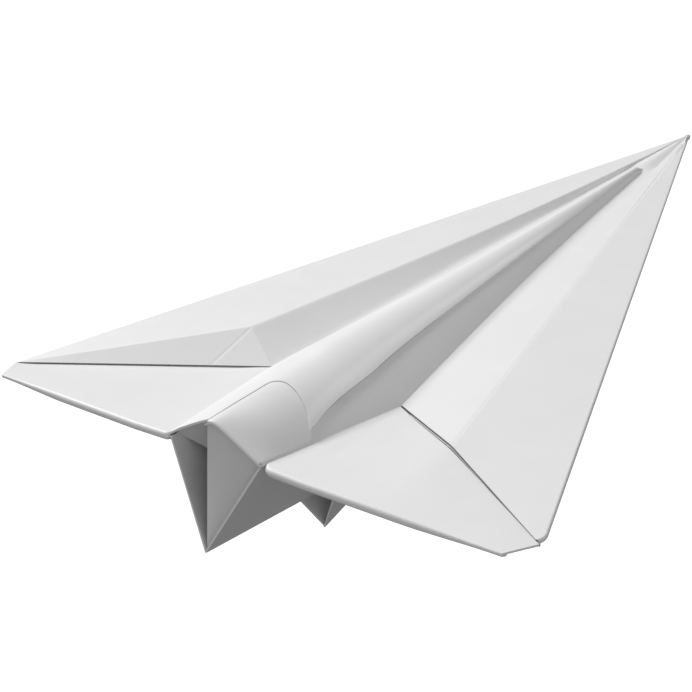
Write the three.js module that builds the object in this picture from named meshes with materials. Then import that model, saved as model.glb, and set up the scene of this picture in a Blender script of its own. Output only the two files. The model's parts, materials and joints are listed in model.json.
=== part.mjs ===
// Folded paper dart, modelled panel by panel and layer by layer.
// Millimetres, +X towards the nose, +Y towards the port wing, +Z up.
import * as THREE from 'three';
import { mergeVertices } from 'three/addons/utils/BufferGeometryUtils.js';

// ---- Driving dimensions -------------------------------------------------
const LENGTH = 297;           // tail edge to nose tip, the long side of an A4 sheet
const NOSE_Z = 9.2;           // nose tip above the tail's root corners
const SHEET = 0.5;            // thickness of one layer of card
const GAP = 0.3;              // running gap between neighbouring layers and panels
const LAYER = SHEET + GAP;    // step from one layer down to the next

const TAIL_HALF = 13.2;       // root corner of the wing at the tail, from the centre plane
const NOTCH = point(47.2, 19.8, -3);      // widest point of the ridge, where wing layers begin
const TIP_FRONT = point(11, 75, -2.2);    // wing tip, front corner
const TIP_REAR = point(2, 70.2, -2);      // wing tip, rear corner
const CREASE_STARBOARD = point(32.3, 41.8, -0.8);   // rear end of the starboard crease
const APEX_PORT = point(55.6, 32.4, 2.5);           // where the three port facets meet

const WING_FRONT = 262;       // the wing panels end here and the nose cap begins
const RIDGE_FRONT = 244;      // front tip of the ridge
const RIDGE_SKIN_FRONT = WING_FRONT - GAP;   // the ridge's card runs on under the nose cap
const CROWN_TAIL = 6.7;       // ridge crown above the root corners, at the tail
const CROWN = 7.6;            // the same further forward
const CROWN_ROUND = 0.34;     // rounding of the crown, as a share of the half-width
const CROWN_STEP = 43;        // the crown steps up from one height to the other about here
const CROWN_STEP_HALF = 6;    // half-length of that step
const RIDGE_TIP = 10;         // length over which the ridge falls to the wing at its front tip
const RIDGE_TIP_AHEAD = 2;    // how far ahead of the front tip that fall ends
const TONGUE_LENGTH = 25.5;   // tongue folded forward over the ridge
const HEM = 2.2;              // rolled trailing edge, height and depth
const RIM_X = 0.6;            // rear edge of the ridge and gussets
const RIDGE_TIP_HALF = 0.8;   // half-width at the ridge's front tip
const RIDGE_BOW = 1.5;        // how far its base lines bow inwards
const TONGUE_PORT = 1;        // port edge of the tongue
const TONGUE_RAKE = 7.5;      // its front edge is raked back to starboard by this much
const NOSE_THICK = 1.4;
const NOSE_CONE = 1.2;        // height of the half cone on the nose cap
const NOSE_CONE_SPREAD = 0.45;              // its half-width, as a share of the cap's
const NOSE_BLUNT = 0.5;       // the cap stops this short of the point
const NOSE_HALF = 0.6;        // least half-width of the cap
const PORT_BOW = 2;           // inward bow of the port crease
const GUSSET_HALF = 23.6;     // outer corner of the root gusset at the tail
const GUSSET_Z = -0.3;
const FLAP_ROOT_TAIL = 26;    // inner corner of the rear panel at the tail
const FLAP_SLOT = 0.8;        // slot between the wing's front layers and the rear panel
const INNER_LIMIT = 0.6;      // most that a facet may be inset from its inner edge, as a share of its width
const OUTER_LIMIT = 0.2;      // the same from its outer edge

const KEEL_INBOARD = 1.5;     // top edge of the keel walls, inboard of the wing fold
const KEEL_DROP = 2.4;        // and below it
const FRONT_KEEL_REAR = point(42.5, 0, -42);  // rear bottom corner of the front keel
const FRONT_KEEL_TOP_X = 24;  // its rear edge rakes back to here
const KEEL_FRONT = 262;
const KEEL_FOLD_HALF = 0.8;   // outer half-width of a keel's bottom fold
const WALL = 0.56;            // a wall's card, measured level
const REAR_KEEL_REAR = point(-3.3, 0, -24.6);
const REAR_KEEL_FRONT = point(70, 0, -33.9);
// Triangles of card that close the tail: the web to starboard of the crown, and the tuck to port.
const TAIL_GUSSET = [point(1.2, -0.2, 5.7), point(-1.6, -0.2, -20.2), point(1.2, -10.8, -2)];
const TAIL_TUCK = [point(3, 0.4, -3), point(3, 0.4, 5.5), point(3, 10.7, -0.6)];

const WHITE = 0.9;
const ORIGIN = point(146.62, 0, -42);   // centre of the box's lower face

const NOSE = point(LENGTH, 0, NOSE_Z);
const RIDGE_SPAN_STEPS = 14;
const RIDGE_LENGTH_STEPS = 26;
const WING_STEPS = 10;

const plane = new THREE.Group();
plane.position.copy(ORIGIN).multiplyScalar(-1);

// ---- Helpers ------------------------------------------------------------
function point(x, y, z) {
  return new THREE.Vector3(x, y, z);
}

function between(a, b, share) {
  return a.clone().lerp(b, share);
}

// The point of segment a-b at a given x.
function atX(a, b, x) {
  return between(a, b, (x - a.x) / (b.x - a.x));
}

// side is +1 for port and -1 for starboard.
function mirrored(p, side) {
  return point(p.x, p.y * side, p.z);
}

function paper() {
  return new THREE.MeshStandardMaterial({
    color: new THREE.Color(WHITE, WHITE, WHITE), roughness: 0.55, metalness: 0, side: THREE.FrontSide,
  });
}

function addMesh(name, geometry) {
  geometry.deleteAttribute('normal');
  geometry.deleteAttribute('uv');
  const welded = mergeVertices(geometry, 1e-4);
  welded.computeVertexNormals();
  const mesh = new THREE.Mesh(welded, paper());
  mesh.name = name;
  plane.add(mesh);
}

// Newell's normal of a closed outline.
function outlineNormal(corners) {
  const normal = point(0, 0, 0);
  corners.forEach((p, i) => {
    const q = corners[(i + 1) % corners.length];
    normal.x += (p.y - q.y) * (p.z + q.z);
    normal.y += (p.z - q.z) * (p.x + q.x);
    normal.z += (p.x - q.x) * (p.y + q.y);
  });
  return normal.normalize();
}

// Moves each edge of a flat outline inwards by its own inset.
function insetOutline(outline, insets) {
  const count = outline.length;
  const edges = outline.map((p, i) => {
    const q = outline[(i + 1) % count];
    const along = q.clone().sub(p).normalize();
    const inward = new THREE.Vector2(-along.y, along.x);
    return { start: p.clone().addScaledVector(inward, insets[i]), along };
  });
  return edges.map((edge, i) => {
    const before = edges[(i + count - 1) % count];
    const cross = before.along.cross(edge.along);
    const offset = edge.start.clone().sub(before.start).cross(edge.along) / cross;
    return before.start.clone().addScaledVector(before.along, offset);
  });
}

// A flat panel of card. The corners run anticlockwise as seen from the face that they lie on;
// the card hangs behind that face, lowered by drop. insets has one value per edge.
function panel(name, corners, { drop = 0, insets = GAP / 2 } = {}) {
  const normal = outlineNormal(corners);
  const xAxis = corners[1].clone().sub(corners[0]).normalize();
  xAxis.addScaledVector(normal, -xAxis.dot(normal)).normalize();
  const yAxis = normal.clone().cross(xAxis);
  const flat = corners.map((p) => {
    const arm = p.clone().sub(corners[0]);
    return new THREE.Vector2(arm.dot(xAxis), arm.dot(yAxis));
  });
  const widths = Array.isArray(insets) ? insets : flat.map(() => insets);
  const geometry = new THREE.ExtrudeGeometry(new THREE.Shape(insetOutline(flat, widths)), {
    depth: SHEET, bevelEnabled: false,
  });
  geometry.translate(0, 0, -SHEET - drop);
  geometry.applyMatrix4(new THREE.Matrix4().makeBasis(xAxis, yAxis, normal));
  geometry.translate(corners[0].x, corners[0].y, corners[0].z);
  addMesh(name, geometry);
}

// A curved layer: a box whose u runs across, v along, and w from the lower to the upper face.
function curvedLayer(name, surface, across, along) {
  const geometry = new THREE.BoxGeometry(1, 1, 1, across, along, 1);
  const place = geometry.attributes.position;
  for (let i = 0; i < place.count; i += 1) {
    const p = surface(place.getX(i) + 0.5, place.getY(i) + 0.5, place.getZ(i) + 0.5);
    place.setXYZ(i, p.x, p.y, p.z);
  }
  addMesh(name, geometry);
}

// A layer ruled between two edge curves, lowered by drop. Each curve runs from rear to front.
// u runs from the port edge to the starboard edge.
function ruledLayer(name, starboardEdge, portEdge, along, drop) {
  curvedLayer(name, (u, v, w) => {
    const p = between(portEdge(v), starboardEdge(v), u);
    p.z -= drop + SHEET * (1 - w);
    return p;
  }, 1, along);
}

// ---- The lines that the dart is folded on -------------------------------
// The wing fold is one straight line from the notch to the nose tip.
function foldAt(x) {
  return atX(NOTCH, NOSE, x);
}

function leadingEdgeAt(x) {
  return atX(TIP_FRONT, NOSE, x);
}

// A facet crease runs from its rear end to the nose tip and bows inwards on its way.
function creaseAt(rearEnd, bow, x) {
  const p = atX(rearEnd, NOSE, x);
  const share = (x - rearEnd.x) / (NOSE.x - rearEnd.x);
  p.y -= bow * Math.sin(Math.PI * Math.max(share, 0));
  return p;
}

// Half-width of the raised ridge: it swells from the tail to the notch, then narrows to its tip.
function ridgeHalf(x) {
  if (x < NOTCH.x) {
    return THREE.MathUtils.lerp(TAIL_HALF, NOTCH.y, x / NOTCH.x);
  }
  const share = Math.min((x - NOTCH.x) / (RIDGE_FRONT - NOTCH.x), 1);
  const straight = THREE.MathUtils.lerp(NOTCH.y, RIDGE_TIP_HALF, share);
  return straight - RIDGE_BOW * Math.sin(Math.PI * share);
}

function baseZ(x) {
  return x < NOTCH.x ? THREE.MathUtils.lerp(0, NOTCH.z, x / NOTCH.x) : foldAt(x).z;
}

function crownZ(x) {
  const rise = THREE.MathUtils.smoothstep(x, CROWN_STEP - CROWN_STEP_HALF, CROWN_STEP + CROWN_STEP_HALF);
  const tip = RIDGE_FRONT + RIDGE_TIP_AHEAD;
  const fall = THREE.MathUtils.smoothstep(x, tip - RIDGE_TIP, tip);
  return THREE.MathUtils.lerp(THREE.MathUtils.lerp(CROWN_TAIL, CROWN, rise), foldAt(x).z, fall);
}

// Height of the ridge's upper face: a rounded gable that flattens into a narrow root strip.
function ridgeTop(x, y) {
  const share = Math.min(Math.abs(y) / ridgeHalf(x), 1);
  const round = CROWN_ROUND;
  const gable = 1 - (Math.hypot(share, round) - round) / (Math.hypot(1, round) - round);
  return baseZ(x) + (crownZ(x) - baseZ(x)) * gable;
}

// ---- Fuselage -----------------------------------------------------------
// One side of the ridge, from the centre plane out to the wing fold.
function ridgeSide(name, side) {
  curvedLayer(name, (u, v, w) => {
    const x = THREE.MathUtils.lerp(RIM_X, RIDGE_SKIN_FRONT, v);
    const outer = x < NOTCH.x ? ridgeHalf(x) - GAP : foldAt(x).y - GAP;
    const y = THREE.MathUtils.lerp(GAP / 2, outer, side > 0 ? 1 - u : u);
    return point(x, side * y, ridgeTop(x, y) - SHEET * (1 - w));
  }, RIDGE_SPAN_STEPS, RIDGE_LENGTH_STEPS);
}

// The tongue starts at the tail edge, just to port of the crown, and covers the starboard flank.
function tongue(name) {
  curvedLayer(name, (u, v, w) => {
    const reach = TONGUE_LENGTH - TONGUE_RAKE * u * u;
    const x = THREE.MathUtils.lerp(RIM_X, reach, v);
    const y = THREE.MathUtils.lerp(TONGUE_PORT, -(ridgeHalf(x) - 2 * GAP), u);
    return point(x, y, ridgeTop(x, y) + GAP + SHEET * w);
  }, RIDGE_SPAN_STEPS, 8);
}

// Half of the nose cap, from the centre plane to the leading edge.
function noseHalf(name, side) {
  const start = WING_FRONT + GAP;
  const end = LENGTH - NOSE_BLUNT;
  curvedLayer(name, (u, v, w) => {
    const x = THREE.MathUtils.lerp(start, end, v);
    const edge = leadingEdgeAt(x);
    const half = Math.max(edge.y, NOSE_HALF);
    const y = THREE.MathUtils.lerp(GAP / 2, half, side > 0 ? 1 - u : u);
    const slope = Math.max(0, 1 - y / (half * NOSE_CONE_SPREAD));
    const cone = NOSE_CONE * slope * (LENGTH - x) / (LENGTH - start);
    return point(x, side * y, edge.z + cone - NOSE_THICK * (1 - w));
  }, 8, 8);
}

function rootGusset(name, side) {
  const rear = point(RIM_X, TAIL_HALF, 0);
  const outer = point(RIM_X, GUSSET_HALF, GUSSET_Z);
  const corners = [rear, outer, NOTCH].map((p) => mirrored(p, side));
  panel(name, side > 0 ? corners.reverse() : corners, { insets: GAP });
}

// A keel wall ruled between its bottom fold and its top edge, which run from rear to front.
// The card is built inwards from the wall's outer face.
function keelWall(name, side, bottom, top) {
  curvedLayer(name, (u, v, w) => {
    const p = between(bottom(v), top(v), side > 0 ? u : 1 - u);
    p.y -= WALL * (1 - w);
    return mirrored(p, side);
  }, 1, WING_STEPS);
}

function keelTop(x, inboard) {
  const p = foldAt(x);
  return point(x, Math.max(p.y - inboard, KEEL_FOLD_HALF), p.z - KEEL_DROP);
}

function frontKeel(name, side) {
  const station = (rearX, v) => THREE.MathUtils.lerp(rearX, KEEL_FRONT, v);
  keelWall(name, side,
    (v) => atX(FRONT_KEEL_REAR, NOSE, station(FRONT_KEEL_REAR.x, v)).setY(KEEL_FOLD_HALF),
    (v) => keelTop(station(FRONT_KEEL_TOP_X, v), KEEL_INBOARD));
}

function rearKeel(name, side) {
  const topRear = point(RIM_X, TAIL_HALF - GAP, -LAYER);
  const topFront = keelTop(REAR_KEEL_FRONT.x, KEEL_INBOARD + 2 * LAYER);
  keelWall(name, side,
    (v) => between(REAR_KEEL_REAR, REAR_KEEL_FRONT, v).setY(KEEL_FOLD_HALF),
    (v) => between(topRear, topFront, v));
}

// ---- Wings --------------------------------------------------------------
// The folded-over front of a wing: two long facets that meet on a crease, in two layers.
function wingFront(word, side, creaseRear, bow) {
  const station = (rearX, v) => THREE.MathUtils.lerp(rearX, WING_FRONT, v);
  const fold = (v) => foldAt(station(NOTCH.x, v));
  const crease = (v) => creaseAt(creaseRear, bow, station(creaseRear.x, v));
  const leading = (v) => leadingEdgeAt(station(TIP_FRONT.x, v));
  // The insets are measured in the facet, from its inner and its outer edge. Close to the nose, where
  // the facet is narrow, they are limited to a share of its width.
  const facet = (name, inner, innerInset, outer, outerInset, drop) => {
    const edge = (v, fromInner) => {
      const start = inner(v);
      const end = outer(v);
      const width = start.distanceTo(end);
      const fromStart = Math.min(innerInset / width, INNER_LIMIT);
      const fromEnd = Math.min(outerInset / width, OUTER_LIMIT);
      return mirrored(between(start, end, fromInner ? fromStart : 1 - fromEnd), side);
    };
    ruledLayer(name, (v) => edge(v, side > 0), (v) => edge(v, side < 0), WING_STEPS, drop);
  };
  facet(`${word}_upper_inner`, fold, GAP * 2, crease, GAP / 2, 0);
  facet(`${word}_upper_outer`, crease, GAP / 2, leading, 0, 0);
  facet(`${word}_under_inner`, fold, 2 * LAYER, crease, GAP, LAYER);
  facet(`${word}_under_outer`, crease, GAP, leading, GAP, LAYER);
}

// The single layer behind the wing's front, with its rolled trailing edge.
function wingRear(word, side) {
  const corners = [point(RIM_X, FLAP_ROOT_TAIL, GUSSET_Z), TIP_REAR, TIP_FRONT, NOTCH];
  const placed = corners.map((p) => mirrored(p, side));
  const insets = [HEM + GAP, GAP, FLAP_SLOT, GAP * 2];
  const turned = side > 0 ? [placed[3], placed[2], placed[1], placed[0]] : placed;
  const turnedInsets = side > 0 ? [insets[2], insets[1], insets[0], insets[3]] : insets;
  panel(`${word}_rear_panel`, turned, { insets: turnedInsets });
}

function hem(word, side) {
  const start = mirrored(point(RIM_X, FLAP_ROOT_TAIL, GUSSET_Z), side);
  const end = mirrored(TIP_REAR, side);
  const along = end.clone().sub(start);
  const length = along.length();
  along.normalize();
  const radius = HEM / 2;
  const section = new THREE.Shape();
  section.moveTo(0, 0);
  section.lineTo(-radius, 0);
  section.absarc(-radius, -radius, radius, Math.PI / 2, 1.5 * Math.PI, false);
  section.lineTo(0, -HEM);
  const geometry = new THREE.ExtrudeGeometry(section, {
    depth: length, bevelEnabled: false, curveSegments: 8,
  });
  // Section axes: first towards the nose, second up; the strip runs along the trailing edge.
  const up = point(0, 0, 1);
  const forward = side > 0 ? along.clone().cross(up) : up.clone().cross(along);
  forward.normalize();
  const lift = side > 0 ? forward.clone().cross(along) : along.clone().cross(forward);
  geometry.translate(HEM, 0, 0);
  const basis = new THREE.Matrix4().makeBasis(forward, lift, along);
  geometry.applyMatrix4(basis);
  if (basis.determinant() < 0) {
    flipFaces(geometry);
  }
  geometry.translate(start.x, start.y, start.z);
  addMesh(`${word}_hem`, geometry);
}

function flipFaces(geometry) {
  const place = geometry.attributes.position;
  for (let i = 0; i < place.count; i += 3) {
    const first = new THREE.Vector3().fromBufferAttribute(place, i);
    const second = new THREE.Vector3().fromBufferAttribute(place, i + 1);
    place.setXYZ(i, second.x, second.y, second.z);
    place.setXYZ(i + 1, first.x, first.y, first.z);
  }
}

for (const [word, side] of [['port', 1], ['starboard', -1]]) {
  ridgeSide(`ridge_${word}`, side);
  noseHalf(`nose_${word}`, side);
  rootGusset(`${word}_root_gusset`, side);
  frontKeel(`front_keel_${word}`, side);
  rearKeel(`rear_keel_${word}`, side);
  wingRear(word, side);
  hem(word, side);
}
tongue('tail_tongue');
wingFront('starboard', -1, CREASE_STARBOARD, 0);
wingFront('port', 1, APEX_PORT, PORT_BOW);
for (const [name, drop, inset] of [['port_upper_rear', 0, GAP], ['port_under_rear', LAYER, 4 * GAP]]) {
  panel(name, [APEX_PORT, TIP_FRONT, NOTCH], { drop, insets: [inset, GAP, inset] });
}
panel('tail_gusset', TAIL_GUSSET, { insets: GAP });
panel('tail_tuck', TAIL_TUCK, { insets: GAP });

export default plane;
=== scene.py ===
# A folded paper dart: the looks of its card layers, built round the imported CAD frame. In metres, nose to +X.
import json
import math

import bmesh
import bpy
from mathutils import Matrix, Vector


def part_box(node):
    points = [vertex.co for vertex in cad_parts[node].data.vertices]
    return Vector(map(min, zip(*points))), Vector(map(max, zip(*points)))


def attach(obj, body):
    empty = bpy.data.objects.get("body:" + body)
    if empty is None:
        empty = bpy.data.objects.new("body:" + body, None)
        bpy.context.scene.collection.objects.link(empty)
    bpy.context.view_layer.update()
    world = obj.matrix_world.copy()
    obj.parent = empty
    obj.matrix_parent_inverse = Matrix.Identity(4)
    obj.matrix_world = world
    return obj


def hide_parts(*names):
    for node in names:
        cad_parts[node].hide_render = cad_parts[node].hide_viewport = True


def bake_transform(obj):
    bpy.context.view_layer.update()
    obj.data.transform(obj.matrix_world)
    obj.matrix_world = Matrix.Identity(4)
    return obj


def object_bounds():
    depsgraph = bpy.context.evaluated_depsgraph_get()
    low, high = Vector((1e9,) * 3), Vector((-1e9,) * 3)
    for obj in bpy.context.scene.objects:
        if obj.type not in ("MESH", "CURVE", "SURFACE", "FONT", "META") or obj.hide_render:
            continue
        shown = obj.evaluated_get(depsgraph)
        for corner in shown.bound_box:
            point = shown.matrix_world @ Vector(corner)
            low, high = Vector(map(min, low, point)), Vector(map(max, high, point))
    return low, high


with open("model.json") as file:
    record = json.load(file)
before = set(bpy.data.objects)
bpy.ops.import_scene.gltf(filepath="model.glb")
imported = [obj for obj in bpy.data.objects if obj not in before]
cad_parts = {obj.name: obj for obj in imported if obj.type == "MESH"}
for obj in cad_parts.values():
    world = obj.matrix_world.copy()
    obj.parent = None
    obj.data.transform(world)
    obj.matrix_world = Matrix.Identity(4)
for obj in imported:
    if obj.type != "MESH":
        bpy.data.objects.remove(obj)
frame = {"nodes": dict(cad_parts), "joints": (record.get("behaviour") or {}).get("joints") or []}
cad_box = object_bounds()


# ---- Driving sizes ------------------------------------------------------
MM = 0.001
SIDES = (("port", 1), ("starboard", -1))

CARD = 0.5 * MM               # thickness of one layer
FOLD = 1.3 * MM               # a doubled wing, over both layers
SOFT = 0.9 * MM               # half-width of a pressed crease
EDGE = 0.16 * MM              # rounding of a cut edge
WEB_EDGE = 0.12 * MM          # rounding of a web's cut edge

SLOT_ROOT = 0.2 * MM          # slot behind the wing's front, at the notch
SLOT_TIP = 0.9 * MM           # and at the tip, along the leading edge
PORT_SLOT = 0.4               # the port slot, as a share of that
TIP_CORNER = 1.4 * MM         # rounding of the starboard wing's front corner
PORT_TIP_CORNER = 0.2 * MM
NOSE_GROOVE = 0.35 * MM       # depth of the starboard crease towards the nose
PORT_BOW = 3.5 * MM           # the port crease's bow

STEP = 0.35 * MM              # the doubled wing stands this much above the single layer behind it
HEM = 2.0 * MM                # thickness of the rolled trailing edge
TIP_HEM = 0.9 * MM            # and at the wing tip
HEM_REACH = 10 * MM           # the hem's width underneath
CORNER = 2.8 * MM             # rounding of the starboard rear panel's inner corner
TIP_TRIM = 0.8 * MM           # the starboard elevator's tip ends this far inboard

# The tucked lip of a rear panel, as (distance ahead of the cross fold, drop), and a root gusset's plain edge.
LIP = ((1.1 * MM, 0.62 * MM), (0.6 * MM, 0.6 * MM), (0.1 * MM, 0.58 * MM),
       (-0.25 * MM, 0.42 * MM), (-0.4 * MM, 0.12 * MM), (-0.65 * MM, 0))
PLAIN_EDGE = (0, 0.01 * MM, 0.02 * MM, 0.2 * MM, 0.42 * MM, 0.75 * MM)
PANEL_SHARES = (0.15, 0.25, 0.37, 0.5, 0.63, 0.76, 0.9)
GUSSET_SHARES = (0.06, 0.12, 0.25, 0.4, 0.55, 0.7, 0.85)
# The lip's first faces, inside the slot, take the near-black card: painted shade.
SLOT_SHADE_COLUMNS = 3              # the lip's faces that lie inside the slot

RAKE = 7.5 * MM               # rake of the tongue's front edge
TONGUE_SHARE = 0.09           # its port edge, as a share of the ridge's half-width
TONGUE_CORNER = 3.2 * MM      # its rounded front corner
TONGUE_CARD = 0.36 * MM       # its thickness
TONGUE_RISE = 0.32 * MM       # its height above the layer below
TONGUE_FOLD = 1.1 * MM        # thickness of its turn over the tail edge
GROOVE = 0.42 * MM            # shut line round the tongue

TAIL_HALF = 13.2 * MM         # half-width of the ridge at the tail
CROWN_ROUND = 0.34            # roundness of the ridge's crown, and at its tail edge
TAIL_ROUND = 0.14
RIDGE_TIP_HALF = 1.5 * MM
RIDGE_BOW = 1.5 * MM
CROWN_LIFT = 0.9 * MM         # extra height of the crown towards its front end

REAR_KEEL_DEPTH = (24.6 * MM, 33.9 * MM)   # below the ridge's root, at the tail and at its front end
REAR_KEEL_LENGTH = 70 * MM

LENS = 62.36
SENSOR = 36
CAMERA_PLACE = (-0.31949, -0.15438, 0.16953)
CAMERA_AZIMUTH = -55.58
CAMERA_ELEVATION = 24.01

# name, direction towards the light, strength, apparent size in degrees
SUNS = (("key", (0.25, 0.7, 0.67), 2.55, 24),
        ("fill", (-0.8, -0.35, 0.5), 0.2, 60),
        ("bounce", (-0.45, -0.75, -0.5), 0.75, 80))
FLOOR_HALF = 30
FLOOR_DROP = 0.5


# ---- Places, read from the frame ----------------------------------------
def joint(name):
    return next(j for j in frame["joints"] if j["name"] == name)


def farthest(node, direction):
    """The vertex of a CAD node that lies farthest along a direction."""
    way = Vector(direction)
    return max((v.co.copy() for v in frame["nodes"][node].data.vertices), key=way.dot)


def at_x(a, b, x):
    return a.lerp(b, (x - a.x) / (b.x - a.x))


def mix(a, b, share):
    return a + (b - a) * share


def smooth(value, low, high):
    share = min(max((value - low) / (high - low), 0), 1)
    return share * share * (3 - 2 * share)


def to_side(p, side):
    return Vector((p.x, p.y * side, p.z))


NOTCH = Vector(joint("port_wing_fold")["pos_m"])
FOLD_WAY = Vector(joint("port_wing_fold")["axis"])
NOSE = NOTCH - FOLD_WAY * (NOTCH.y / FOLD_WAY.y)
FLAP_WAY = Vector(joint("port_elevator_bend")["axis"])
TIP_FRONT = NOTCH + FLAP_WAY * ((cad_box[1].y - NOTCH.y) / FLAP_WAY.y)
TAIL_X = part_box("port_hem")[0].x
TIP_REAR = Vector((TAIL_X + 1.6 * MM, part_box("port_hem")[1].y, NOTCH.z + 1.8 * MM))
CREASE = to_side(farthest("starboard_upper_inner", (-0.3, -1, 0)), -1)
APEX = farthest("port_upper_rear", (1, 0, 0.5))
ROOT = Vector((TAIL_X, TAIL_HALF, NOTCH.z + 3 * MM))
TONGUE_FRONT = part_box("tail_tongue")[1].x
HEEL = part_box("rear_keel_port")[0]
SPIKE = farthest("front_keel_port", (-0.01, 0, -1))
SPIKE_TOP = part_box("front_keel_port")[0].x

RIDGE_FRONT = NOSE.x - 53 * MM
CROWN_TAIL = ROOT.z + 6.7 * MM
CROWN = ROOT.z + 7.6 * MM
CROWN_STEP = (ROOT.x + 37 * MM, ROOT.x + 49 * MM)


def fold_at(x):
    return at_x(NOTCH, NOSE, x)


def leading_at(x):
    return at_x(TIP_FRONT, NOSE, x)


def ridge_half(x):
    if x < NOTCH.x:
        return mix(ROOT.y, NOTCH.y, (x - ROOT.x) / (NOTCH.x - ROOT.x))
    share = min((x - NOTCH.x) / (RIDGE_FRONT - NOTCH.x), 1)
    return mix(NOTCH.y, RIDGE_TIP_HALF, share) - RIDGE_BOW * math.sin(math.pi * share)


def base_z(x):
    if x < NOTCH.x:
        return mix(ROOT.z, NOTCH.z, (x - ROOT.x) / (NOTCH.x - ROOT.x))
    return fold_at(x).z


def crown_z(x):
    top = mix(CROWN_TAIL, CROWN, smooth(x, *CROWN_STEP))
    top += CROWN_LIFT * smooth(x, NOTCH.x + 60 * MM, RIDGE_FRONT)
    return mix(top, fold_at(x).z, smooth(x, RIDGE_FRONT - 3 * MM, RIDGE_FRONT + 2.6 * MM))


def ridge_top(x, y):
    share = min(abs(y) / ridge_half(x), 1)
    blunt = mix(TAIL_ROUND, CROWN_ROUND, smooth(x, ROOT.x, ROOT.x + 12 * MM))
    gable = 1 - (math.hypot(share, blunt) - blunt) / (math.hypot(1, blunt) - blunt)
    if y < 0:
        gable = mix(gable, 1 - share ** 2, mix(0, 0.9, smooth(x, ROOT.x, ROOT.x + 11 * MM)))
    return mix(base_z(x), crown_z(x), gable)


# ---- Meshes -------------------------------------------------------------
def grid_mesh(name, *grids, facing=(0, 0, 1), shaded=0, slot="outer_layer"):
    """A sheet of quads through rows of points. Points that coincide are welded, and the first face
    looks along facing. The first columns, as many as shaded, take the piece's second material, a dark card that
    paints shade there."""
    mesh = bpy.data.meshes.new(name)
    bm = bmesh.new()
    known = {}

    def vertex(p):
        key = tuple(round(c * 1e7) for c in p)
        if key not in known:
            known[key] = bm.verts.new(p)
        return known[key]

    for rows in grids:
        grid = [[vertex(p) for p in row] for row in rows]
        for upper, lower in zip(grid, grid[1:]):
            for column, (a, b, c, d) in enumerate(zip(upper, upper[1:], lower[1:], lower)):
                corners = list(dict.fromkeys((a, b, c, d)))
                if len(corners) > 2 and bm.faces.get(corners) is None:
                    face = bm.faces.new(corners)
                    face.smooth = True
                    face.material_index = 1 if column < shaded else 0
    bm.faces.ensure_lookup_table()
    bm.normal_update()
    first = next(f for f in bm.faces if f.calc_area() > 1e-9)
    if first.normal.dot(Vector(facing)) < 0:
        bmesh.ops.reverse_faces(bm, faces=bm.faces)
    bm.to_mesh(mesh)
    bm.free()
    piece = bpy.data.objects.new(name, mesh)
    bpy.context.scene.collection.objects.link(piece)
    return piece


def card(piece, material, second=None, thickness=CARD, rounding=EDGE, rim=False):
    """Gives a sheet the card's thickness and softly rounded cut edges."""
    solid = piece.modifiers.new("card", "SOLIDIFY")
    solid.thickness = thickness
    solid.offset = -1
    solid.material_offset_rim = 1 if rim else 0
    solid.use_even_offset = False
    bevel = piece.modifiers.new("edges", "BEVEL")
    bevel.width = rounding
    bevel.segments = 3
    bevel.limit_method = "ANGLE"
    bevel.angle_limit = math.radians(50)
    bevel.harden_normals = False
    piece.modifiers.new("shading", "WEIGHTED_NORMAL").weight = 90
    piece.data.materials.append(material)
    if second:
        piece.data.materials.append(second)
    return piece


# ---- Material -----------------------------------------------------------
def paper(name, shade):
    """White card: faint mottling in colour, pressed fibres in the bump and uneven roughness."""
    material = bpy.data.materials.new(name)
    material.use_nodes = True
    nodes, links = material.node_tree.nodes, material.node_tree.links
    shader = nodes["Principled BSDF"]
    shader.inputs["IOR"].default_value = 1.45
    place = nodes.new("ShaderNodeTexCoord")

    def noise(scale, detail, rough=0.55):
        node = nodes.new("ShaderNodeTexNoise")
        node.inputs["Scale"].default_value = scale
        node.inputs["Detail"].default_value = detail
        node.inputs["Roughness"].default_value = rough
        links.new(place.outputs["Object"], node.inputs["Vector"])
        return node

    mottle = noise(60, 4)
    tint = nodes.new("ShaderNodeValToRGB")
    tint.color_ramp.elements[0].position = 0.3
    tint.color_ramp.elements[0].color = (shade * 0.975, shade * 0.975, shade * 0.972, 1)
    tint.color_ramp.elements[1].position = 0.7
    tint.color_ramp.elements[1].color = (shade, shade, shade * 0.998, 1)
    links.new(mottle.outputs["Fac"], tint.inputs["Fac"])
    links.new(tint.outputs["Color"], shader.inputs["Base Color"])

    uneven = noise(220, 3)
    rough = nodes.new("ShaderNodeMapRange")
    rough.inputs["To Min"].default_value = 0.38
    rough.inputs["To Max"].default_value = 0.52
    links.new(uneven.outputs["Fac"], rough.inputs["Value"])
    links.new(rough.outputs["Result"], shader.inputs["Roughness"])

    fibres = noise(2600, 6, 0.7)
    bump = nodes.new("ShaderNodeBump")
    bump.inputs["Strength"].default_value = 0.12
    bump.inputs["Distance"].default_value = 0.05 * MM
    links.new(fibres.outputs["Fac"], bump.inputs["Height"])
    links.new(bump.outputs["Normal"], shader.inputs["Normal"])
    return material


OUTER = paper("outer_card", 0.9)
# A grey copy of the card for the keels and webs: painted shade on the dart's undersides.
SHADED_UNDERSIDE_CARD = paper("shaded_underside_card", 0.78)
# A near-black copy of the card: painted shade inside the cross-fold slots and along the wing skins' cut edges.
SLOT_SHADE_CARD = paper("slot_shade_card", 0.28)


# ---- Wings --------------------------------------------------------------
def crease_at(rear, bow, x):
    p = at_x(rear, NOSE, x)
    p.y -= bow * math.sin(math.pi * max(x - rear.x, 0) / (NOSE.x - rear.x))
    return p


def lift(p, height):
    return Vector((p.x, p.y, p.z + height))


def toward(a, b, reach, most=0.3):
    """The point that far from a towards b, and at most that share of the way."""
    return a.lerp(b, min(reach / max((b - a).length, 1e-9), most))


def fold_back(edge, inward, radius, steps=7):
    """Points round a fold: the sheet turns under at an edge."""
    points = []
    for k in range(steps + 1):
        a = math.pi * k / steps
        points.append(lift(edge + inward * radius * (1 - math.sin(a)), -radius * (1 - math.cos(a))))
    return points


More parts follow.
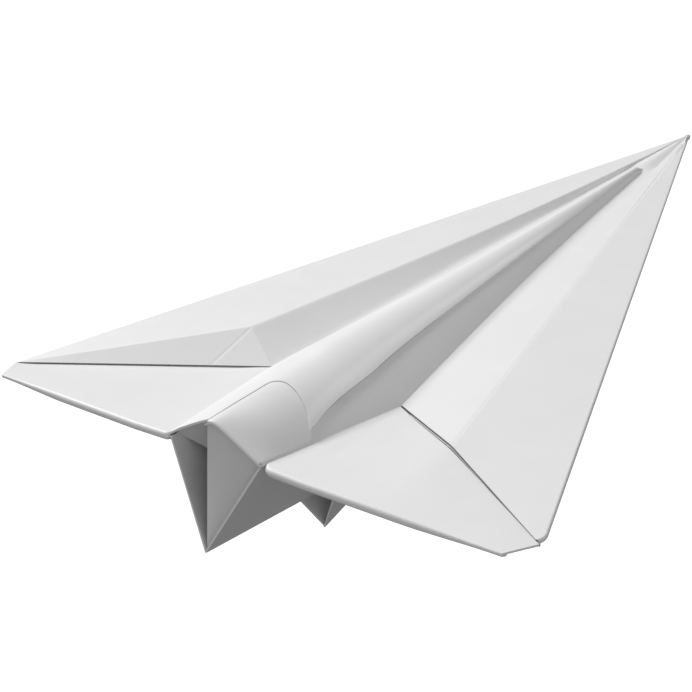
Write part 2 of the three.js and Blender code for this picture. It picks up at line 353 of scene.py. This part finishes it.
def wing_section(hinge, top, outer, shoulder, groove):
    """Across a wing: from under the ridge, over the crease, round the leading edge and back underneath."""
    base = Vector((hinge.x, min(ridge_half(hinge.x), hinge.y) - 0.6 * MM, hinge.z))
    inner = toward(top, hinge, SOFT)
    outside = toward(top, outer, SOFT)
    along = (NOSE - TIP_FRONT).normalized()
    inward = shoulder - outer
    inward = (inward - along * inward.dot(along)).normalized()
    radius = FOLD / 2
    rim = outer + inward * radius
    over = [base, toward(hinge, base, 1.5 * MM, 0.5), hinge, toward(hinge, top, 1.6 * MM),
            hinge.lerp(top, 0.35), hinge.lerp(top, 0.65), inner, top.lerp(inner, 0.4),
            lift(top, -0.1 * SOFT - groove), top.lerp(outside, 0.4), outside,
            top.lerp(rim, 0.25), top.lerp(rim, 0.5), top.lerp(rim, 0.75)]
    under = [lift(p, -FOLD) for p in reversed(over[3:])]
    return over + fold_back(outer, inward, radius) + under


def wing_front(word, side, crease_rear, bow):
    """The folded-over front of a wing, in one skin from the ridge round the leading edge."""
    front = NOSE.x - 2.5 * MM
    slot = SLOT_TIP if side < 0 else PORT_SLOT * SLOT_TIP
    shares = [0, 0.001, 0.003, 0.006, 0.01, 0.016] + [0.025 + 0.975 * k / 44 for k in range(45)]

    def leading(x):
        near_tip = max(0, 1 - (x - TIP_FRONT.x - slot) / (3 * MM))
        corner = (TIP_CORNER if side < 0 else PORT_TIP_CORNER) * near_tip ** 2
        p = leading_at(x)
        return Vector((p.x, p.y - corner, p.z))

    starts = (NOTCH.x + SLOT_ROOT, crease_rear.x + (slot if side < 0 else 0), TIP_FRONT.x + slot)
    rows = []
    if side > 0:
        hinge, outer = fold_at(starts[0]), leading(starts[2])
        waist = at_x(hinge, outer, mix(starts[0], starts[2], 0.24))
        for share in (0, 0.25, 0.5, 0.75, 0.92, 0.97):
            rows.append(wing_section(hinge, waist.lerp(crease_rear, share), outer, crease_rear, 0))
    for v in shares:
        x_fold, x_crease, x_edge = (mix(start, front, v) for start in starts)
        top = crease_at(crease_rear, bow, x_crease)
        groove = NOSE_GROOVE * smooth(top.x, NOSE.x - 130 * MM, NOSE.x - 50 * MM) if side < 0 else 0
        rows.append(wing_section(fold_at(x_fold), top, leading(x_edge), top, groove * (1 - v)))
    rows = [[to_side(p, side) for p in row] for row in rows]
    # The skin's cut edges, its rear edge along the slot among them, take the near-black card: painted shade.
    piece = card(grid_mesh(f"{word}_wing_skin", rows), OUTER, SLOT_SHADE_CARD, rim=True)
    nodes = ["upper_inner", "upper_outer", "under_inner", "under_outer"]
    if side > 0:
        nodes += ["upper_rear", "under_rear"]
    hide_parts(*(f"{word}_{node}" for node in nodes))
    bend_wing(piece)
    return piece


def bend_wing(piece):
    """Bakes the piece's placement into its mesh."""
    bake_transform(piece)


def rear_skin(name, side, front, rear, panel, columns):
    """The single layer behind a wing's front. Its rear edge is rolled under. A panel's front edge is tucked."""
    rows_by_column = []
    for u in columns:
        a, b = front(u), rear(u)
        way = (a - b).normalized()
        span = (a - b).length
        ease = 1 - smooth(u, 0.93, 1) if panel else 1
        if panel:
            step = STEP * smooth(u, 0, 0.15) * mix(0.3, 1, ease)
            inner = mix(0.15, 1, smooth(u, 0, 0.12))
            points = []
            for ahead, drop in LIP:
                reach = ahead * ease * inner if ahead > 0 else ahead
                points.append(lift(a + way * reach, -drop * max(ease, 0.12) - step))
            inside, shares = max(1 - 4.5 * MM / span, 0.3), PANEL_SHARES
        else:
            step = 0
            points = [a - way * reach for reach in PLAIN_EDGE]
            inside, shares = 1, GUSSET_SHARES
        points += [lift(a.lerp(b, share * inside), -step * (1 - share)) for share in shares]
        points += [b + way * min(reach, 0.2 * span) for reach in (3 * MM, 1.8 * MM)]
        hem = mix(HEM, TIP_HEM, smooth(u, 0.5, 1) if panel else 0)
        points += fold_back(b, way, hem / 2)
        reach_under = mix(hem / 2 + 0.8 * MM, min(HEM_REACH, 0.6 * span), ease)
        for share in (0.25, 0.5, 0.75, 1):
            drop = mix(hem, min(hem, 1.2 * MM), share)
            points.append(lift(b + way * mix(hem / 2, reach_under, share), -drop))
        rows_by_column.append(points)
    rows = [[to_side(p, side) for p in points] for points in rows_by_column]
    # A panel's lip faces inside the slot take the near-black card, painted shade; a gusset's faces stay white.
    return card(grid_mesh(name, rows, shaded=SLOT_SHADE_COLUMNS if panel else 0), OUTER, SLOT_SHADE_CARD)


def rear_parts(word, side):
    tail_fold = Vector((TAIL_X, fold_at(TAIL_X).y, ROOT.z - 0.3 * MM))
    middle = (CREASE.y - NOTCH.y) / (TIP_FRONT.y - NOTCH.y)
    corner = CORNER if side < 0 else 0.4 * CORNER

    def gap_line(u):
        p = NOTCH.lerp(TIP_FRONT, u)
        p.y -= TIP_TRIM * smooth(u, 0.93, 1) if side < 0 else 0
        if side < 0:
            raised = CREASE.z - NOTCH.lerp(TIP_FRONT, middle).z
            p.z += raised * (u / middle if u < middle else (1 - u) / (1 - middle))
        return p

    def gusset_rear(u):
        p = ROOT.lerp(tail_fold, u)
        short = max(0, corner - (p.y - ROOT.y))
        p.x += corner - math.sqrt(max(corner ** 2 - short ** 2, 0))
        return p

    spread = [k / 24 for k in range(25)]
    tail_line = lambda u: tail_fold.lerp(TIP_REAR, u)
    panel = rear_skin(f"{word}_rear_skin", side, gap_line, tail_line, True, spread)
    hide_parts(f"{word}_rear_panel", f"{word}_hem")
    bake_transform(panel)

    close = [0, 0.015, 0.04, 0.08, 0.14, 0.22, 0.35, 0.5, 0.75, 1]
    gusset = rear_skin(f"{word}_root_skin", side, lambda u: NOTCH.copy(), gusset_rear, False, close)
    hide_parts(f"{word}_root_gusset")
    bend_wing(gusset)


# ---- Ridge --------------------------------------------------------------
def seam_share(x):
    """Where the port layer ends on the starboard flank, as a share of the ridge's half-width."""
    return -(0.555 + 0.315 * math.exp(-max(x - ROOT.x - 18.9 * MM, 0) / (14 * MM)))


def tongue_front(share):
    """The tongue's front edge: raked back to starboard, with a rounded corner at its port edge."""
    across = (TONGUE_SHARE - share) * ROOT.y
    rounding = TONGUE_CORNER - math.sqrt(max(TONGUE_CORNER ** 2 - max(TONGUE_CORNER - across, 0) ** 2, 0))
    return TONGUE_FRONT - RAKE * (TONGUE_SHARE - share) ** 2 - rounding


def on_ridge(x, share, rise):
    y = share * ridge_half(x)
    return Vector((x, y, ridge_top(x, y) + rise))


def ridge_skins():
    """The port layer runs over the crown to its seam. The starboard layer lies below it and the tongue."""
    front = RIDGE_FRONT + 2.4 * MM
    tail = ROOT.x + 1.1 * MM
    rim = TONGUE_SHARE + GROOVE / ROOT.y
    flush = lambda x: 0.3 * MM * (1 - smooth(x, ROOT.x + 45 * MM, ROOT.x + 100 * MM))
    lap = lambda x: 0.4 * MM * (1 - smooth(x, ROOT.x + 130 * MM, ROOT.x + 190 * MM))

    def groove_edge(share):
        return tongue_front(min(share - GROOVE / ROOT.y, TONGUE_SHARE)) + GROOVE

    def port_point(x, share):
        return on_ridge(x, share, flush(x) * smooth(share, 1, 0.75)
                        + lap(x) * smooth(share, seam_share(x) + 0.22, seam_share(x)))

    corner = groove_edge(rim)
    ahead = [k / 84 for k in range(85)]
    beside = [mix(tail, corner, k / 10) for k in range(10)] + [mix(corner, front, v) for v in ahead]
    port = [[port_point(x, mix(1, rim, k / 20)) for k in range(21)] for x in beside]
    columns = []
    for k in range(31):
        across = (k / 30) ** 1.5
        start = corner
        for _ in range(6):
            start = groove_edge(mix(rim, seam_share(start), across))
        stations = [mix(start, front, v) for v in ahead]
        columns.append([port_point(x, mix(rim, seam_share(x), across)) for x in stations])
    over = card(grid_mesh("ridge_port_skin", port, list(zip(*columns))), OUTER)
    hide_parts("ridge_port")
    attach(over, "fuselage")

    def below_point(x, share):
        return on_ridge(x, share, -mix(0.12 * MM, 0.6 * MM, smooth(share, -0.62, -0.3)))

    below = []
    for x in [mix(tail, front, k / 90) for k in range(91)]:
        beyond = smooth(x, TONGUE_FRONT + 2 * MM, TONGUE_FRONT + 9 * MM)
        first = mix(rim + 0.1, seam_share(x) + 0.12, beyond)
        below.append([below_point(x, mix(first, -1, k / 28)) for k in range(29)])
    under = card(grid_mesh("ridge_starboard_skin", below), OUTER)
    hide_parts("ridge_starboard")
    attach(under, "fuselage")


def tongue():
    """The flap that turns over the tail edge and lies forward on the ridge's starboard flank."""
    rows = []
    for k in range(41):
        share = mix(TONGUE_SHARE, -1 + 0.4 * MM / ROOT.y, (k / 40) ** 1.5)
        reach = tongue_front(share)
        rear = ROOT.x + 0.1 * MM
        points = [on_ridge(mix(reach, rear + 1 * MM, j / 20), share, TONGUE_RISE) for j in range(21)]
        points += fold_back(on_ridge(rear, share, TONGUE_RISE), Vector((1, 0, 0)), TONGUE_FOLD / 2, 8)
        points.append(on_ridge(rear + 0.9 * MM, share, TONGUE_RISE - TONGUE_FOLD))
        rows.append(points)
    piece = card(grid_mesh("tongue_skin", rows), OUTER, thickness=TONGUE_CARD, rounding=0.1 * MM)
    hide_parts("tail_tongue")
    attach(piece, "tongue")


def nose_cone():
    """The rounded cone that closes the gap between the two wings, from the ridge's tip to the nose."""
    start, end, neck = RIDGE_FRONT - 2 * MM, NOSE.x - 0.1 * MM, NOSE.x - 2.6 * MM
    sunk = 0.08 * MM
    rows = []
    for k in range(61):
        x = mix(start, end, (k / 60) ** 0.8)
        tip = math.sqrt(max(1 - max(x - neck, 0) ** 2 / (end - neck) ** 2, 0))
        half = max(mix(fold_at(x).y * 1.5, 0.95 * MM, smooth(x, neck - 12 * MM, neck)) * tip, 0.1 * MM)
        rise = mix(0, 1.0 * MM, smooth(x, start, RIDGE_FRONT + 9 * MM))
        rise *= mix(1, 0.3, smooth(x, RIDGE_FRONT, neck))
        low = FOLD * 1.05 * max(tip, 0.1)
        centre = fold_at(x).z
        over = []
        for j in range(17):
            t = 1 - j / 8
            bulge = (rise + sunk) * tip * (0.5 + 0.5 * math.cos(math.pi * t))
            over.append(Vector((x, half * t, centre - sunk + bulge)))
        under = [Vector((x, -half * 0.9, centre - low)), Vector((x, half * 0.9, centre - low))]
        rows.append(over + under + [over[0]])
    piece = grid_mesh("nose_cone", rows)
    piece.data.materials.append(OUTER)
    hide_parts("nose_port", "nose_starboard")
    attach(piece, "fuselage")


# ---- Keel and tail ------------------------------------------------------
def keel_skin(name, top, bottom, count, material):
    """A vee of card: down from one top edge, round the bottom fold and up to the other."""
    rows = []
    for k in range(count + 1):
        v = k / count
        a, b = top(v), bottom(v)
        heel = Vector((b.x, 0.4 * MM, b.z + 0.55 * MM))
        side = [a.lerp(heel, share) for share in (0, 0.03, 0.25, 0.5, 0.75, 0.95)]
        side += [heel, Vector((b.x, 0.28 * MM, b.z + 0.18 * MM)), Vector((b.x, 0.13 * MM, b.z + 0.04 * MM))]
        rows.append(side + [Vector(b)] + [to_side(p, -1) for p in reversed(side)])
    # Its faces take the given card, the grey one that paints shade on the keels; its cut edges take the white
    # card.
    return card(grid_mesh(name, rows, facing=(0, 1, -0.2), slot="inner_layer"), material, OUTER, rim=True)


def keel_top(x, inboard):
    p = fold_at(x)
    return Vector((x, max(p.y - inboard, 0.8 * MM), p.z - 1.6 * MM))


def front_keel():
    spike = Vector((SPIKE.x, 0, SPIKE.z))
    front = NOSE.x - 6 * MM
    piece = keel_skin("front_keel_skin",
                      lambda v: keel_top(mix(SPIKE_TOP, front, v), 1.5 * MM),
                      lambda v: at_x(spike, NOSE, mix(spike.x, front, v)), 40, SHADED_UNDERSIDE_CARD)
    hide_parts("front_keel_port", "front_keel_starboard")
    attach(piece, "fuselage")


def rear_keel():
    tail = Vector((HEEL.x, 0, ROOT.z - REAR_KEEL_DEPTH[0]))
    ahead = Vector((ROOT.x + REAR_KEEL_LENGTH, 0, ROOT.z - REAR_KEEL_DEPTH[1]))
    corner = Vector((ROOT.x + 0.6 * MM, ROOT.y - 0.3 * MM, ROOT.z - 0.8 * MM))
    top_front = keel_top(ahead.x, 3.1 * MM)
    piece = keel_skin("rear_keel_skin",
                      lambda v: corner.lerp(top_front, v),
                      lambda v: tail.lerp(ahead, v), 24, SHADED_UNDERSIDE_CARD)
    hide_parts("rear_keel_port", "rear_keel_starboard")
    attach(piece, "fuselage")


def web(name, point, edge, bow):
    """A three-cornered web of card, from a point to an edge curve, bowed a little forward."""
    rows = []
    for k in range(17):
        v = k / 16
        row = []
        for j in range(17):
            u = j / 16
            p = point.lerp(edge(u), v)
            p.x += bow * 16 * u * (1 - u) * v * (1 - v)
            row.append(p)
        rows.append(row)
    sheet = grid_mesh(f"{name}_skin", rows, facing=(-1, 0, 0), slot="inner_layer")
    # The web's faces take the grey card, painted shade under the ridge's tail; its cut edges take the white
    # card.
    piece = card(sheet, SHADED_UNDERSIDE_CARD, OUTER, rounding=WEB_EDGE, rim=True)
    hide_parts(name)
    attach(piece, "fuselage")


def tail_webs():
    """The web to starboard of the crown, and the tuck to port of it, both under the ridge's tail edge."""
    def under_ridge(inner, outer, depth, drop):
        return lambda u: on_ridge(ROOT.x + depth, mix(inner, outer, u), -drop)

    heel = Vector((HEEL.x + 0.4 * MM, -0.1 * MM, ROOT.z - 23.4 * MM))
    web("tail_gusset", heel, under_ridge(0.22, -0.97, 2.2 * MM, 0.62 * MM), 1.0 * MM)
    low = Vector((ROOT.x + 8.5 * MM, 6 * MM, ROOT.z - 6.6 * MM))
    web("tail_tuck", low, under_ridge(0.99, 0.06, 2.9 * MM, 0.6 * MM), 0)


# ---- Floor, light and camera --------------------------------------------
def stage():
    mesh = bpy.data.meshes.new("floor")
    corners = [(x * FLOOR_HALF, y * FLOOR_HALF, -FLOOR_DROP) for x, y in ((-1, -1), (1, -1), (1, 1), (-1, 1))]
    mesh.from_pydata(corners, [], [(0, 1, 2, 3)])
    floor = bpy.data.objects.new("floor", mesh)
    bpy.context.scene.collection.objects.link(floor)
    pale = bpy.data.materials.new("floor")
    pale.use_nodes = True
    shader = pale.node_tree.nodes["Principled BSDF"]
    shader.inputs["Base Color"].default_value = (0.95, 0.95, 0.95, 1)
    shader.inputs["Roughness"].default_value = 0.9
    shader.inputs["Specular IOR Level"].default_value = 0
    shader.inputs["Emission Color"].default_value = (1, 1, 1, 1)
    shader.inputs["Emission Strength"].default_value = 0.35
    floor.visible_diffuse = False
    floor.visible_glossy = False
    mesh.materials.append(pale)

    world = bpy.data.worlds.new("studio")
    world.use_nodes = True
    bpy.context.scene.world = world
    nodes, links = world.node_tree.nodes, world.node_tree.links
    place = nodes.new("ShaderNodeTexCoord")
    split = nodes.new("ShaderNodeSeparateXYZ")
    sky = nodes.new("ShaderNodeValToRGB")
    sky.color_ramp.elements[0].position = 0.3
    sky.color_ramp.elements[0].color = (0.13, 0.13, 0.134, 1)
    sky.color_ramp.elements[1].position = 0.62
    sky.color_ramp.elements[1].color = (0.31, 0.31, 0.313, 1)
    height = nodes.new("ShaderNodeMapRange")
    height.inputs["From Min"].default_value = -1
    height.inputs["From Max"].default_value = 1
    links.new(place.outputs["Generated"], split.inputs["Vector"])
    links.new(split.outputs["Z"], height.inputs["Value"])
    links.new(height.outputs["Result"], sky.inputs["Fac"])
    links.new(sky.outputs["Color"], nodes["Background"].inputs["Color"])

    def sun(name, toward_light, strength, angle):
        lamp = bpy.data.lights.new(name, "SUN")
        lamp.energy = strength
        lamp.angle = math.radians(angle)
        holder = bpy.data.objects.new(name, lamp)
        holder.rotation_euler = Vector(toward_light).to_track_quat("Z", "Y").to_euler()
        bpy.context.scene.collection.objects.link(holder)

    for light in SUNS:
        sun(*light)
    bpy.context.scene.view_settings.view_transform = "Standard"


def camera():
    view = bpy.data.cameras.new("camera")
    view.lens = LENS
    view.sensor_width = SENSOR
    view.clip_start = 0.01
    holder = bpy.data.objects.new("camera", view)
    holder.location = CAMERA_PLACE
    azimuth, elevation = math.radians(CAMERA_AZIMUTH), math.radians(CAMERA_ELEVATION)
    ahead = Vector((-math.sin(azimuth) * math.cos(elevation), math.cos(azimuth) * math.cos(elevation),
                    -math.sin(elevation)))
    holder.rotation_euler = ahead.to_track_quat("-Z", "Y").to_euler()
    bpy.context.scene.collection.objects.link(holder)
    bpy.context.scene.camera = holder


wing_front("starboard", -1, CREASE, 0)
wing_front("port", 1, APEX, PORT_BOW)
for word, side in SIDES:
    rear_parts(word, side)
ridge_skins()
nose_cone()
tongue()
front_keel()
rear_keel()
tail_webs()
stage()
camera()
